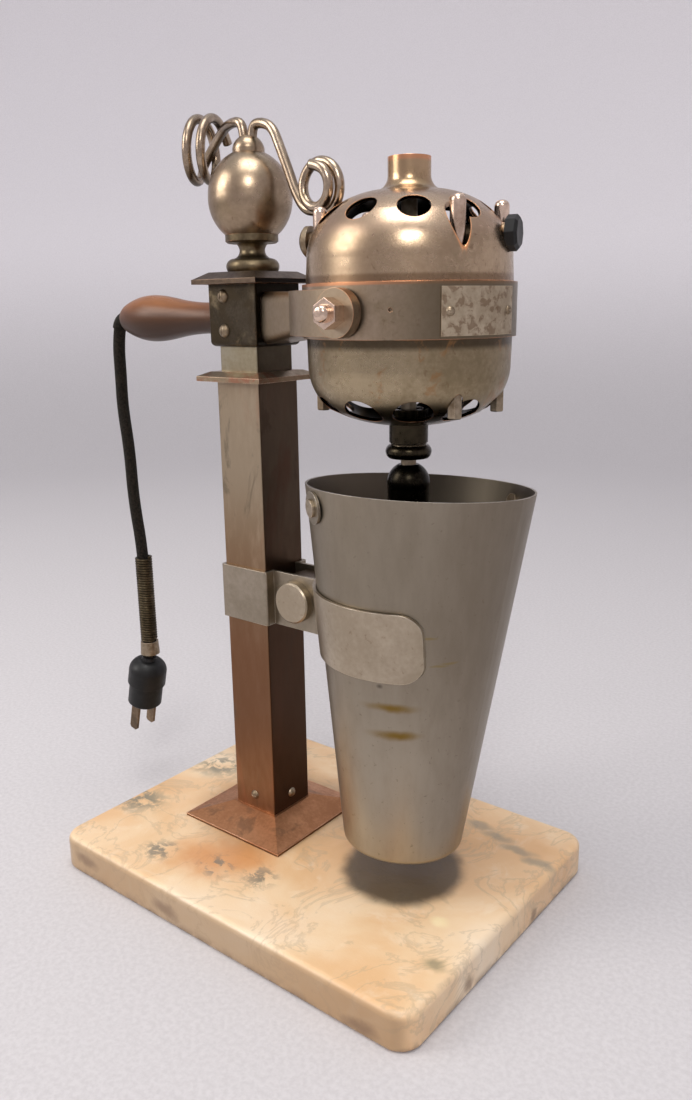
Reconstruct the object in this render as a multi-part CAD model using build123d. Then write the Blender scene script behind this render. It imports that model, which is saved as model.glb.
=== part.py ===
from build123d import *
import os
from math import asin, cos, radians, sin, tan

# Milkshake mixer with a lift-up motor head on a square column and a marble slab.
# Millimetres, +Z up. X runs from the column towards the motor, -Y is the nameplate side,
# and the origin is on the slab's underside, on the column's axis.

os.makedirs("parts", exist_ok=True)

# Slab and column foot
SLAB_LENGTH, SLAB_WIDTH, SLAB_THICK = 226.0, 166.0, 18.5
SLAB_CENTRE = (37.5, -4.0)
SLAB_CORNER, SLAB_TOP_EDGE, SLAB_BOTTOM_EDGE = 11.0, 3.5, 2.0
FLANGE_SIDE, FLANGE_TOP_SIDE = 68.0, 31.0
FLANGE_RIM, FLANGE_HEIGHT = 1.5, 7.3
FLANGE_FLOOR = 2.0
BOSS_HEIGHT = 25.5
BOLT_RADIUS, BOLT_HEAD_FLATS, BOLT_HEAD_HEIGHT = 4.0, 13.0, 5.5
BOLT_RECESS, BOLT_RECESS_RADIUS = 3.0, 12.0
BOLT_FLANGE_RADIUS, BOLT_FLANGE_THICK = 10.0, 1.6

# Column and telescoping post
COLUMN_SIDE, COLUMN_BORE, COLUMN_TOP = 28.0, 25.2, 255.2
POST_SIDE, POST_WALL, POST_TOP = 25.0, 2.0, 281.0
SHOE_HEIGHT, SHOE_SPIGOT = 12.0, 10.0
PLATE_SIDE, COLLAR_THICK = 42.0, 4.5
PLATE_EDGE = 2.2
LIFT_TRAVEL = 155.0

# Head block and finial
BLOCK_SIDE, BLOCK_BOTTOM, BLOCK_TOP = 31.2, 271.6, 300.6
TOP_PLATE_TOP, TOP_PLATE_CROWN_SIDE = 306.1, 30.0
FINIAL_RING_RADIUS, FINIAL_COVE_RADIUS = 12.7, 6.1
FINIAL_NECK_TOP = 323.0
BALL_RADIUS, BALL_CENTRE, BALL_TOP = 19.8, 340.5, 359.0
BALL_FOOT_RADIUS, BALL_HEAD_RADIUS = 12.5, 8.0
CAP_RADIUS, CAP_TOP = 7.5, 367.2
FINIAL_STUD_RADIUS = 2.5
WIRE_RADIUS = 2.25

# Handle and cord
HANDLE_HEIGHT, HANDLE_END = 284.8, -96.7
HANDLE_CORE_RADIUS, HANDLE_CORE_BORE = 4.0, 3.0
HANDLE_MAX_RADIUS, HANDLE_NECK_RADIUS = 12.0, 7.6
CORD_RADIUS = 3.3
SLEEVE_RADIUS, SLEEVE_BEND, SLEEVE_TURN = 3.9, 7.0, 75.0
SPRING_RADIUS, SPRING_TOP, SPRING_BOTTOM = 5.0, 150.0, 97.0
FERRULE_BOTTOM, FERRULE_FLARE = 89.0, 5.6
CORD_DROP_X = -97.6
PLUG_TILT = 13.5
PLUG_HEIGHT, PLUG_CAP_RADIUS, PLUG_FOOT_RADIUS, PLUG_CAP_HEIGHT = 32.5, 11.3, 10.1, 18.0
PRONG_LENGTH, PRONG_WIDTH, PRONG_THICK, PRONG_PITCH = 17.0, 6.3, 1.5, 12.7

# Motor
MOTOR_X = 90.6
BAND_RADIUS, BAND_BORE, BAND_BOTTOM, BAND_TOP = 45.3, 42.0, 276.7, 298.5
SHELL_RADIUS, SHELL_WALL = 43.7, 1.5
NECK_RADIUS, NECK_TOP = 8.95, 348.3
LOWER_BOTTOM = 239.4
VENT_COUNT, VENT_START = 10, 19.5
UPPER_VENT_RADIUS, LOWER_VENT_RADIUS = 6.6, 8.3
THROUGH_BOLT_CIRCLE, THROUGH_BOLT_SPREAD = 38.0, 26.5
THROUGH_BOLT_RADIUS, BOLT_POST_RADIUS, BOLT_POST_TOP, BOLT_POST_BOTTOM = 2.0, 3.1, 330.5, 312.0
BOLT_POCKET_RADIUS = 5.0
LUG_FLATS, LUG_TOP, LUG_BOTTOM = 5.4, 257.0, 245.0
CORE_BOTTOM, CORE_TOP, CORE_BORE = 279.0, 298.0, 17.6
COIL_INNER, COIL_OUTER, COIL_OVERHANG = 22.0, 31.0, 6.5
SHAFT_RADIUS, SHAFT_TOP = 3.4, 345.0
RUNNING_GAP = 0.04
BRUSH_HEIGHT, BRUSH_ANGLE = 317.0, 15.0
BRUSH_RADIUS, BRUSH_TUBE_RADIUS, BRUSH_TUBE_ENDS = 3.1, 4.1, (41.8, 45.0)
BRUSH_CAP_RADIUS = 6.6
COMMUTATOR_RADIUS = 9.0
FAN_RADIUS, FAN_BOTTOM, FAN_TOP, FAN_BLADES = 29.0, 257.0, 267.0, 8
NOSE_RADIUS, NOSE_LIP_RADIUS, NOSE_BOTTOM, LIP_TOP = 8.6, 10.2, 224.5, 230.2
BEARING_RADIUS = 6.0
YOKE_INNER, YOKE_OUTER, YOKE_BOTTOM, YOKE_TOP = 46.3, 51.0, 278.0, 296.0
EAR_RADIUS, EAR_STUD_RADIUS, EAR_NUT_FLATS, EAR_NUT_HEIGHT = 9.6, 3.4, 10.4, 6.0
EAR_STUD_END = 61.0
PLATE_ANGLE, PLATE_SPREAD, NAMEPLATE_HEIGHT, NAMEPLATE_THICK = -16.0, 24.0, 18.6, 0.8

# Spindle
COUPLING_RADIUS, COUPLING_TOP, COUPLING_BOTTOM = 9.3, 221.5, 186.0
ROD_RADIUS, ROD_TOP, ROD_BOTTOM = 2.5, 205.0, 62.0
AGITATOR_RADIUS, AGITATOR_THICK = 15.0, 1.4

# Cup and its holder
CUP_HEIGHT, CUP_RIM_RADIUS, CUP_FOOT_RADIUS, CUP_WALL = 171.7, 51.9, 28.2, 1.0
CUP_X, CUP_Y, CUP_LEVEL, CUP_TILT = 93.0, 1.0, 150.0, 4.5
CUP_LEVEL_HEIGHT = 110.7
CUP_EAR_HEIGHT, CUP_EAR_RADIUS, CUP_EAR_ANGLE = 163.2, 7.2, -119.0
HOLDER_BOTTOM, HOLDER_TOP = 134.5, 166.0
HOLDER_GAP, HOLDER_WALL, HOLDER_REACH, HOLDER_CORNER = 0.35, 1.5, 121.5, 9.0
STRAP_BORE, STRAP_WALL, STRAP_BOTTOM, STRAP_TOP = 28.2, 1.6, 134.0, 162.0
FLANGE_HALF_GAP, FLANGE_REACH = 8.4, 44.0
CLAMP_X, CLAMP_Z, CLAMP_RADIUS = 30.5, 148.6, 2.5
KNOB_RADIUS, KNOB_THICK = 10.4, 4.5


def save(node, *pieces):
    """Write one node: a single solid, or a group of separate ones."""
    shape = pieces[0] if len(pieces) == 1 else Compound(children=list(pieces))
    export_step(shape, f"parts/{node}.step")


def rod(radius, z0, z1, x=0.0, y=0.0):
    return Pos(x, y, (z0 + z1) / 2) * Cylinder(radius, z1 - z0)


def ring(outer, inner, z0, z1, x=0.0, y=0.0):
    return rod(outer, z0, z1, x, y) - rod(inner, z0 - 1, z1 + 1, x, y)


def bar(side, z0, z1, corner=0.0):
    """Upright square bar on the column's axis."""
    outline = RectangleRounded(side, side, corner) if corner else Rectangle(side, side)
    return Pos(0, 0, z0) * extrude(outline, z1 - z0)


def turned(*lines, x=0.0, y=0.0):
    """Solid of revolution about an upright axis, from an outline of (radius, height)."""
    edges = [edge for line in lines for edge in line.edges()]
    return Pos(x, y, 0) * revolve(Plane.XZ * make_face(edges), Axis.Z)


def drilled(origin, direction, radius, length):
    """Cylinder whose middle is at the origin given, along the direction given."""
    return Plane(origin=origin, z_dir=direction) * Cylinder(radius, length)


def hexagon(flats, length, origin, direction):
    blank = extrude(RegularPolygon(flats / 2, 6, major_radius=False), length)
    return Plane(origin=origin, z_dir=direction) * blank


def crown(radius, edge_height, top_height):
    """Arc of a dome whose centre is on the axis, from its edge to its top."""
    rise = top_height - edge_height
    sphere = (radius**2 + rise**2) / (2 * rise)
    half = asin(radius / sphere) / 2
    middle = (sphere * sin(half), top_height - sphere * (1 - cos(half)))
    return ThreePointArc((radius, edge_height), middle, (0, top_height))


def around_motor(angle, radius, z):
    return (MOTOR_X + radius * cos(radians(angle)), radius * sin(radians(angle)), z)


def outward(angle, rise=0.0):
    """Unit vector away from an upright axis, turned up by the rise in degrees."""
    level = cos(radians(rise))
    return (level * cos(radians(angle)), level * sin(radians(angle)), sin(radians(rise)))


def round_head_screw(origin, direction, head_radius, head_height, shank_radius, shank_length):
    """Screw whose head stands on the origin and whose shank runs back from it."""
    dome = turned(Line((0, 0), (head_radius, 0)), crown(head_radius, 0, head_height),
                  Line((0, head_height), (0, 0)))
    slot = Pos(0, 0, head_height) * Box(2 * head_radius, 0.22 * head_radius, 0.7 * head_height)
    shank = rod(shank_radius, -shank_length, 0)
    return Plane(origin=origin, z_dir=direction) * (dome - slot + shank)


def sector(inner, outer, z0, z1, middle, half):
    """Part of a ring round the motor's axis, from middle - half to middle + half degrees."""
    reach = 2 * outer
    side = reach * tan(radians(half))
    wedge = make_face(Polyline((0, 0), (reach, side), (reach, -side), (0, 0)))
    wedge = Pos(MOTOR_X, 0, z0) * Rot(0, 0, middle) * extrude(wedge, z1 - z0)
    return ring(outer, inner, z0, z1, MOTOR_X) & wedge


def bend_radii(points):
    """Largest even radius for each corner of a route, from its shorter run and its turn."""
    radii = []
    for before, here, after in zip(points, points[1:], points[2:]):
        come, leave = Vector(*here) - Vector(*before), Vector(*after) - Vector(*here)
        turn = come.get_angle(leave)
        radii.append(0.45 * min(come.length, leave.length) / tan(radians(turn / 2)))
    return radii


def tube(points, radius):
    """Round bar along straight runs joined by tangent arcs."""
    path = FilletPolyline(*points, radius=bend_radii(points))
    start = Vector(*points[0])
    section = Plane(origin=start, z_dir=Vector(*points[1]) - start) * Circle(radius)
    return sweep(section, path=path.wire())


# ---------------------------------------------------------------- slab, foot and column
slab_x, slab_y = SLAB_CENTRE
slab_outline = RectangleRounded(SLAB_LENGTH, SLAB_WIDTH, SLAB_CORNER)
marble_slab = Pos(slab_x, slab_y, 0) * extrude(slab_outline, SLAB_THICK)
marble_slab = fillet(marble_slab.faces().sort_by(Axis.Z)[-1].edges(), SLAB_TOP_EDGE)
marble_slab = fillet(marble_slab.faces().sort_by(Axis.Z)[0].edges(), SLAB_BOTTOM_EDGE)
recess_top = BOLT_RECESS + BOLT_HEAD_HEIGHT + BOLT_FLANGE_THICK
marble_slab -= rod(BOLT_RECESS_RADIUS, -1, recess_top)
marble_slab -= rod(BOLT_RADIUS + 0.5, 0, SLAB_THICK + 1)
save("marble_slab", marble_slab)

flange_top = SLAB_THICK + FLANGE_HEIGHT
column_foot = SLAB_THICK + FLANGE_FLOOR
boss_top = column_foot + BOSS_HEIGHT
pyramid_foot = Pos(0, 0, SLAB_THICK + FLANGE_RIM) * Rectangle(FLANGE_SIDE - 1, FLANGE_SIDE - 1)
pyramid_head = Pos(0, 0, flange_top) * Rectangle(FLANGE_TOP_SIDE, FLANGE_TOP_SIDE)
base_flange = bar(FLANGE_SIDE, SLAB_THICK, SLAB_THICK + FLANGE_RIM)
base_flange += loft([pyramid_foot, pyramid_head])
base_flange -= bar(COLUMN_SIDE, column_foot, flange_top + 1)
base_flange += bar(COLUMN_BORE, column_foot, boss_top)
base_flange -= rod(BOLT_RADIUS, 0, boss_top - 6)

foot_screw_height = boss_top - 12.5
foot_screws = []
column_tube = bar(COLUMN_SIDE, column_foot, COLUMN_TOP, 0.8) - bar(COLUMN_BORE, 0, COLUMN_TOP + 1)
for turn in (0, 90, 180, 270):
    way = outward(turn)
    seat = tuple(COLUMN_SIDE / 2 * part for part in way[:2]) + (foot_screw_height,)
    foot_screws.append(round_head_screw(seat, way, 2.6, 1.7, 1.5, 6.0))
    drill = drilled(seat, way, 1.5, 12.0)
    column_tube -= drill
    base_flange -= drill
save("base_flange", base_flange)
save("column_tube", column_tube)
save("column_foot_screws", *foot_screws)

bolt_head = hexagon(BOLT_HEAD_FLATS, BOLT_HEAD_HEIGHT, (0, 0, BOLT_RECESS), (0, 0, 1))
bolt_flange = rod(BOLT_FLANGE_RADIUS, BOLT_RECESS + BOLT_HEAD_HEIGHT, recess_top)
save("base_bolt", bolt_head + bolt_flange + rod(BOLT_RADIUS, recess_top, boss_top - 7))
save("recess_plug", rod(BOLT_RECESS_RADIUS, 0, BOLT_RECESS - 0.2))

collar_top = COLUMN_TOP + COLLAR_THICK
column_collar = bar(PLATE_SIDE, COLUMN_TOP, collar_top)
column_collar = chamfer(column_collar.faces().sort_by(Axis.Z)[-1].edges(), PLATE_EDGE, 5.0)
column_collar -= bar(COLUMN_BORE, COLUMN_TOP - 1, collar_top + 1)
save("column_collar", column_collar)

# ---------------------------------------------------------------- sliding post and head block
shoe_top = boss_top + SHOE_HEIGHT
post_bore = POST_SIDE - 2 * POST_WALL
shoe = bar(POST_SIDE, boss_top, shoe_top, 1.0) + bar(post_bore, shoe_top, shoe_top + SHOE_SPIGOT)
save("post_guide_shoe", shoe)

screw_x = -5.5
screw_heights = (279.0, 295.0)
screw_depth = 7.0
block_half = BLOCK_SIDE / 2
head_block = bar(BLOCK_SIDE, BLOCK_BOTTOM, BLOCK_TOP)
head_block = fillet(head_block.faces().sort_by(Axis.Z)[0].edges(), 2.5)
head_block = fillet(head_block.edges().filter_by(Axis.Z), 1.0)
head_block -= bar(POST_SIDE, BLOCK_BOTTOM - 1, POST_TOP)
inner_post = bar(POST_SIDE, shoe_top, POST_TOP, 1.0) - bar(post_bore, 0, POST_TOP + 1)
block_screws = []
for side in (-1, 1):
    for height in screw_heights:
        seat = (screw_x, side * block_half, height)
        block_screws.append(round_head_screw(seat, (0, side, 0), 3.2, 2.3, 1.5, screw_depth))
        drill = drilled(seat, (0, side, 0), 1.5, 2 * screw_depth)
        head_block -= drill
        inner_post -= drill
head_block -= drilled((0, 0, HANDLE_HEIGHT), (1, 0, 0), HANDLE_CORE_RADIUS, 2 * BLOCK_SIDE)
head_block -= rod(FINIAL_STUD_RADIUS, 292, BLOCK_TOP + 1)
save("inner_post", inner_post)
save("head_block", head_block)
save("head_block_screws", *block_screws)

plate_rim_top = BLOCK_TOP + PLATE_EDGE
crown_foot = Pos(0, 0, plate_rim_top) * Rectangle(PLATE_SIDE - 0.6, PLATE_SIDE - 0.6)
crown_head = Pos(0, 0, TOP_PLATE_TOP) * Rectangle(TOP_PLATE_CROWN_SIDE, TOP_PLATE_CROWN_SIDE)
top_plate = bar(PLATE_SIDE, BLOCK_TOP, plate_rim_top) + loft([crown_foot, crown_head])
top_plate -= rod(FINIAL_STUD_RADIUS, 290, TOP_PLATE_TOP + 1)
save("top_plate", top_plate)

# ---------------------------------------------------------------- finial
ring_top, cove_height, lip_bottom = 312.2, 315.5, 319.2
finial_base = turned(
    Polyline((FINIAL_STUD_RADIUS, TOP_PLATE_TOP), (11.8, TOP_PLATE_TOP)),
    ThreePointArc((11.8, TOP_PLATE_TOP), (FINIAL_RING_RADIUS, 308.3), (9.4, ring_top)),
    ThreePointArc((9.4, ring_top), (FINIAL_COVE_RADIUS, cove_height), (11.6, lip_bottom)),
    Polyline((11.6, lip_bottom), (12.6, lip_bottom + 0.8), (12.6, FINIAL_NECK_TOP),
             (FINIAL_STUD_RADIUS, FINIAL_NECK_TOP), (FINIAL_STUD_RADIUS, TOP_PLATE_TOP)),
)
finial_ball = turned(
    Polyline((FINIAL_STUD_RADIUS, FINIAL_NECK_TOP), (BALL_FOOT_RADIUS, FINIAL_NECK_TOP)),
    ThreePointArc((BALL_FOOT_RADIUS, FINIAL_NECK_TOP), (17.9, 330.0), (BALL_RADIUS, BALL_CENTRE)),
    ThreePointArc((BALL_RADIUS, BALL_CENTRE), (15.9, 352.3), (BALL_HEAD_RADIUS, BALL_TOP)),
    Polyline((BALL_HEAD_RADIUS, BALL_TOP), (FINIAL_STUD_RADIUS, BALL_TOP),
             (FINIAL_STUD_RADIUS, FINIAL_NECK_TOP)),
)
cap_shoulder = BALL_TOP + 2.0
finial_cap = turned(
    Polyline((0, BALL_TOP), (CAP_RADIUS, BALL_TOP), (CAP_RADIUS, cap_shoulder)),
    crown(CAP_RADIUS, cap_shoulder, CAP_TOP),
    Line((0, CAP_TOP), (0, BALL_TOP)),
)
stud_top = BALL_TOP + 3.0
finial_cap -= rod(FINIAL_STUD_RADIUS, BALL_TOP - 1, stud_top)
save("finial_base", finial_base)
save("finial_ball", finial_ball)
save("finial_stud", rod(FINIAL_STUD_RADIUS, 292, stud_top))

# Wire guides: each leaves the cap, bends over and ends in round turns.
wire_seat = 364.0
wire_offset = 2.6
wire_steps = 10


def turns(centre, axis, across, radius, pitch, shrink, start, steps):
    """Points of round turns. Each turn moves by the pitch along the axis and shrinks by shrink."""
    points = []
    for step in range(steps + 1):
        turn = radians(start + 360 * step / wire_steps)
        reach = radius - shrink * step / wire_steps
        spot = Vector(*centre) + axis * (pitch * step / wire_steps)
        spot = spot + across * (reach * cos(turn)) + Vector(0, 0, reach * sin(turn))
        points.append(tuple(spot))
    return points


coil_turn = radians(24)
coil_axis = Vector(cos(coil_turn), sin(coil_turn), 0)
coil_across = Vector(sin(coil_turn), -cos(coil_turn), 0)
left_route = [(-wire_offset, 0, wire_seat), (-wire_offset, 0, 369.0), (-5.0, 0, 373.4),
              (-12.3, 1.5, 373.6), (-24.0, 8.0, 373.0)]
left_route += turns((-36.6, -1.3, 363.7), coil_axis, coil_across, 14.6, 7.0, 0.0, 198, 19)
wire_guide_left = tube(left_route, WIRE_RADIUS)

loop_turn = radians(-5)
loop_across = Vector(cos(loop_turn), sin(loop_turn), 0)
loop_axis = Vector(sin(loop_turn), -cos(loop_turn), 0)
right_route = [(wire_offset, 0, wire_seat), (wire_offset, 0, 370.5), (8.8, -0.5, 371.4),
               (16.6, -1.2, 368.4), (22.0, -1.7, 357.6), (26.6, -2.1, 348.3), (30.7, -2.5, 339.1),
               (36.2, -3.0, 331.6)]
right_route += turns((48.9, -4.1, 340.3), loop_axis, loop_across, 11.5, 4.8, 2.0, -120, 16)
wire_guide_right = tube(right_route, WIRE_RADIUS)
for side in (-1, 1):
    finial_cap -= rod(WIRE_RADIUS, wire_seat, CAP_TOP + 1, x=side * wire_offset)
save("finial_cap", finial_cap)
save("wire_guide_left", wire_guide_left)
save("wire_guide_right", wire_guide_right)

# ---------------------------------------------------------------- yoke
motor_solid = rod(YOKE_INNER, 200, 360, MOTOR_X)
yoke_middle = (YOKE_BOTTOM + YOKE_TOP) / 2
arm_root = Plane.YZ.offset(block_half) * Pos(0, HANDLE_HEIGHT) * RectangleRounded(25, 24, 5)
arm_end = Plane.YZ.offset(MOTOR_X - YOKE_INNER + 5) * Pos(0, yoke_middle) * RectangleRounded(56, 18, 5)
half_ring = ring(YOKE_OUTER, YOKE_INNER, YOKE_BOTTOM, YOKE_TOP, MOTOR_X)
half_ring &= Pos(MOTOR_X - 50, 0, yoke_middle) * Box(100, 120, 40)
motor_yoke = loft([arm_root, arm_end]) - motor_solid + half_ring
ear_wall = YOKE_OUTER - YOKE_INNER
ear_studs, ear_nuts = [], []
band_bosses = []
motor_band = ring(BAND_RADIUS, BAND_BORE, BAND_BOTTOM, BAND_TOP, MOTOR_X)
for side in (-1, 1):
    way = (0, side, 0)
    ear_middle = (MOTOR_X, side * (YOKE_INNER + ear_wall / 2), yoke_middle)
    motor_yoke += drilled(ear_middle, way, EAR_RADIUS, ear_wall)
    motor_yoke -= drilled(ear_middle, way, EAR_STUD_RADIUS, 3 * ear_wall)
    boss_length = YOKE_INNER - BAND_BORE
    boss = drilled((MOTOR_X, side * (BAND_BORE + boss_length / 2), yoke_middle), way, 8.0, boss_length)
    motor_band += (boss & motor_solid) - rod(BAND_BORE, 250, 320, MOTOR_X)
    motor_band -= drilled(ear_middle, way, EAR_STUD_RADIUS, 20)
    stud_length = EAR_STUD_END - BAND_BORE
    stud_middle = (MOTOR_X, side * (BAND_BORE + stud_length / 2), yoke_middle)
    stud = drilled(stud_middle, way, EAR_STUD_RADIUS, stud_length)
    ear_studs.append(fillet(stud.faces().sort_by(Axis.Y)[0 if side < 0 else -1].edges(), 2.2))
    nut_seat = (MOTOR_X, side * YOKE_OUTER, yoke_middle)
    nut = hexagon(EAR_NUT_FLATS, EAR_NUT_HEIGHT, nut_seat, way)
    ear_nuts.append(nut - stud)
motor_yoke -= drilled((0, 0, HANDLE_HEIGHT), (1, 0, 0), HANDLE_CORE_RADIUS, 54)
save("motor_yoke", motor_yoke)
save("yoke_studs", *ear_studs)
save("yoke_nuts", *ear_nuts)

# ---------------------------------------------------------------- handle
core_start, core_end = 26.0, HANDLE_END + 7.0
core_length = core_start - core_end
core_middle = ((core_start + core_end) / 2, 0, HANDLE_HEIGHT)
handle_core = drilled(core_middle, (1, 0, 0), HANDLE_CORE_RADIUS, core_length)
handle_core -= drilled(core_middle, (1, 0, 0), HANDLE_CORE_BORE, core_length + 2)
save("handle_core", handle_core)

grip_length = -block_half - HANDLE_END
handle_outline = [
    Polyline((HANDLE_CORE_RADIUS, 0), (HANDLE_NECK_RADIUS + 0.6, 0), (HANDLE_NECK_RADIUS, 12)),
    Spline((HANDLE_NECK_RADIUS, 12), (9.0, 33), (HANDLE_MAX_RADIUS, 57.5), (9.0, 74), (4.9, grip_length),
           tangents=((0, 1), (-0.9, 0.6))),
    Polyline((4.9, grip_length), (HANDLE_CORE_RADIUS, grip_length), (HANDLE_CORE_RADIUS, 0)),
]
wooden_handle = turned(*handle_outline)
save("wooden_handle", Pos(-block_half, 0, HANDLE_HEIGHT) * Rot(0, -90, 0) * wooden_handle)

# ---------------------------------------------------------------- cord, spring and plug
sleeve_straight = 7.0
bend_start = HANDLE_END + 7.0 - sleeve_straight
sleeve_turn = radians(SLEEVE_TURN)
half_turn = sleeve_turn / 2
sleeve_mid = (bend_start - SLEEVE_BEND * sin(half_turn), 0,
              HANDLE_HEIGHT - SLEEVE_BEND * (1 - cos(half_turn)))
sleeve_end = (bend_start - SLEEVE_BEND * sin(sleeve_turn), 0,
              HANDLE_HEIGHT - SLEEVE_BEND * (1 - cos(sleeve_turn)))
sleeve_path = Polyline((HANDLE_END + 7.0, 0, HANDLE_HEIGHT), (bend_start, 0, HANDLE_HEIGHT)).edges()
sleeve_path += ThreePointArc((bend_start, 0, HANDLE_HEIGHT), sleeve_mid, sleeve_end).edges()
sleeve_section = Plane(origin=(HANDLE_END + 7.0, 0, HANDLE_HEIGHT), z_dir=(-1, 0, 0))
cord_sleeve = sweep(sleeve_section * Circle(SLEEVE_RADIUS), path=Wire(sleeve_path))
save("cord_sleeve", cord_sleeve)

exit_run = 9.0
neck_run = 5.5
neck_x = CORD_DROP_X - neck_run * sin(radians(PLUG_TILT))
neck_z = 92.0 - neck_run * cos(radians(PLUG_TILT))
cord_route = [
    sleeve_end,
    (sleeve_end[0] - exit_run * cos(sleeve_turn), 0, sleeve_end[2] - exit_run * sin(sleeve_turn)),
    (-106.2, 0.4, 254.0),
    (-107.0, 0.6, 236.0),
    (-103.4, 0.4, 211.0),
    (-102.2, -0.3, 183.0),
    (CORD_DROP_X, 0, 152.0),
    (CORD_DROP_X, 0, 92.0),
    (neck_x, 0, neck_z),
]
cord = tube(cord_route, CORD_RADIUS)
print("cord corner radii", [round(radius, 1) for radius in bend_radii(cord_route)])
print("cord length", round(cord.volume / (3.14159 * CORD_RADIUS**2), 1))
save("cord", cord)

strain_spring = ring(SPRING_RADIUS, CORD_RADIUS + 0.4, SPRING_BOTTOM, SPRING_TOP, CORD_DROP_X)
save("strain_spring", strain_spring)
spring_ferrule = turned(
    Polyline((4.2, FERRULE_BOTTOM), (FERRULE_FLARE, FERRULE_BOTTOM), (FERRULE_FLARE, FERRULE_BOTTOM + 1),
             (SPRING_RADIUS + 0.2, SPRING_BOTTOM), (4.2, SPRING_BOTTOM), (4.2, FERRULE_BOTTOM)),
    x=CORD_DROP_X,
)
save("spring_ferrule", spring_ferrule)

# The plug hangs askew from the cord's last run, its own axis pointing down.
plug_place = Pos(neck_x, 0, neck_z) * Rot(0, PLUG_TILT, 0)
plug_body = turned(
    Polyline((0, 0), (4.0, 0), (4.4, -2.0)),
    ThreePointArc((4.4, -2.0), (9.5, -4.6), (PLUG_CAP_RADIUS, -9.0)),
    Polyline((PLUG_CAP_RADIUS, -9.0), (PLUG_CAP_RADIUS, -PLUG_CAP_HEIGHT),
             (PLUG_FOOT_RADIUS, -PLUG_CAP_HEIGHT), (PLUG_FOOT_RADIUS, 1 - PLUG_HEIGHT),
             (PLUG_FOOT_RADIUS - 1, -PLUG_HEIGHT), (0, -PLUG_HEIGHT), (0, 0)),
)
prongs = []
for side in (-1, 1):
    prong_root = PLUG_HEIGHT - 8.0
    length = PRONG_LENGTH + 8.0
    centre = Pos(0, side * PRONG_PITCH / 2, -prong_root - length / 2)
    prong = centre * Box(PRONG_WIDTH, PRONG_THICK, length)
    plug_body -= prong
    tip_edges = prong.faces().sort_by(Axis.Z)[0].edges().filter_by(Axis.Y)
    prongs.append(plug_place * chamfer(tip_edges, 1.2))
save("plug_body", plug_place * plug_body)
save("plug_prongs", *prongs)

# ---------------------------------------------------------------- motor casing


def upper_form(inset):
    """Solid under the upper shell's skin, or under its inner face when inset."""
    side, top = SHELL_RADIUS - inset, 335.2 - inset
    neck = NECK_RADIUS - inset
    shoulder = (side - 0.5, 308.0)
    bend = (35.6 - 0.6 * inset, 325.8 - 0.8 * inset)
    roof = (14.5 - 0.5 * inset, top)
    return turned(
        Polyline((0, BAND_TOP), (side, BAND_TOP), shoulder),
        ThreePointArc(shoulder, (41.1 - 0.9 * inset, 318.0 - 0.4 * inset), bend),
        ThreePointArc(bend, (25.6 - 0.4 * inset, 332.2 - 0.9 * inset), roof),
        ThreePointArc(roof, (10.4 - 0.8 * inset, 337.3 - 0.6 * inset), (neck, 341.5)),
        Polyline((neck, 341.5), (neck, NECK_TOP), (0, NECK_TOP), (0, BAND_TOP)),
        x=MOTOR_X,
    )


def lower_form(inset):
    """Solid inside the lower shell's skin, or inside its inner face when inset."""
    side = SHELL_RADIUS - inset
    waist = (side - 0.3, 264.0)
    bilge = (34.0 - 0.5 * inset, 246.2 + 0.8 * inset)
    foot = (NOSE_RADIUS, LOWER_BOTTOM + inset)
    return turned(
        Polyline((0, BAND_BOTTOM), (side, BAND_BOTTOM), waist),
        ThreePointArc(waist, (40.9 - 0.9 * inset, 254.5 + 0.4 * inset), bilge),
        ThreePointArc(bilge, (22.5 - 0.2 * inset, 241.9 + inset), foot),
        Polyline(foot, (0, foot[1]), (0, BAND_BOTTOM)),
        x=MOTOR_X,
    )


upper_shell = upper_form(0) - upper_form(SHELL_WALL)
lower_shell = lower_form(0) - lower_form(SHELL_WALL) - rod(NOSE_RADIUS, 230, 250, MOTOR_X)
for count in range(VENT_COUNT):
    angle = VENT_START + 360 / VENT_COUNT * count
    upper_shell -= drilled(around_motor(angle, 34.0, 326.3), outward(angle, 47), UPPER_VENT_RADIUS, 12)
    lower_shell -= drilled(around_motor(angle, 34.2, 246.5), outward(angle, -50), LOWER_VENT_RADIUS, 12)

field_core = ring(BAND_BORE, CORE_BORE, CORE_BOTTOM, CORE_TOP, MOTOR_X)
through_bolts, lug_nuts = [], []
for angle in (-THROUGH_BOLT_SPREAD, THROUGH_BOLT_SPREAD,
              180 - THROUGH_BOLT_SPREAD, 180 + THROUGH_BOLT_SPREAD):
    x, y, _ = around_motor(angle, THROUGH_BOLT_CIRCLE, 0)
    post = rod(BOLT_POST_RADIUS, BOLT_POST_BOTTOM, BOLT_POST_TOP, x, y)
    post = fillet(post.faces().sort_by(Axis.Z)[-1].edges(), 2.6)
    slot = Pos(x, y, BOLT_POST_TOP) * Rot(0, 0, angle + 35) * Box(10, 1.0, 2.4)
    shank = rod(THROUGH_BOLT_RADIUS, LUG_BOTTOM + 1, BOLT_POST_BOTTOM, x, y)
    through_bolts.append(post - slot + shank)
    lug = hexagon(LUG_FLATS, LUG_TOP - LUG_BOTTOM, (x, y, LUG_BOTTOM), (0, 0, 1))
    lug = fillet(lug.faces().sort_by(Axis.Z)[0].edges(), 0.9)
    lug_nuts.append(lug - shank)
    upper_shell -= rod(BOLT_POCKET_RADIUS, 300, 345, x, y)
    lower_shell -= rod(LUG_FLATS * 0.58, 235, LUG_TOP, x, y)
    field_core -= rod(THROUGH_BOLT_RADIUS, 270, 305, x, y)
save("through_bolts", *through_bolts)
save("through_bolt_nuts", *lug_nuts)

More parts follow.
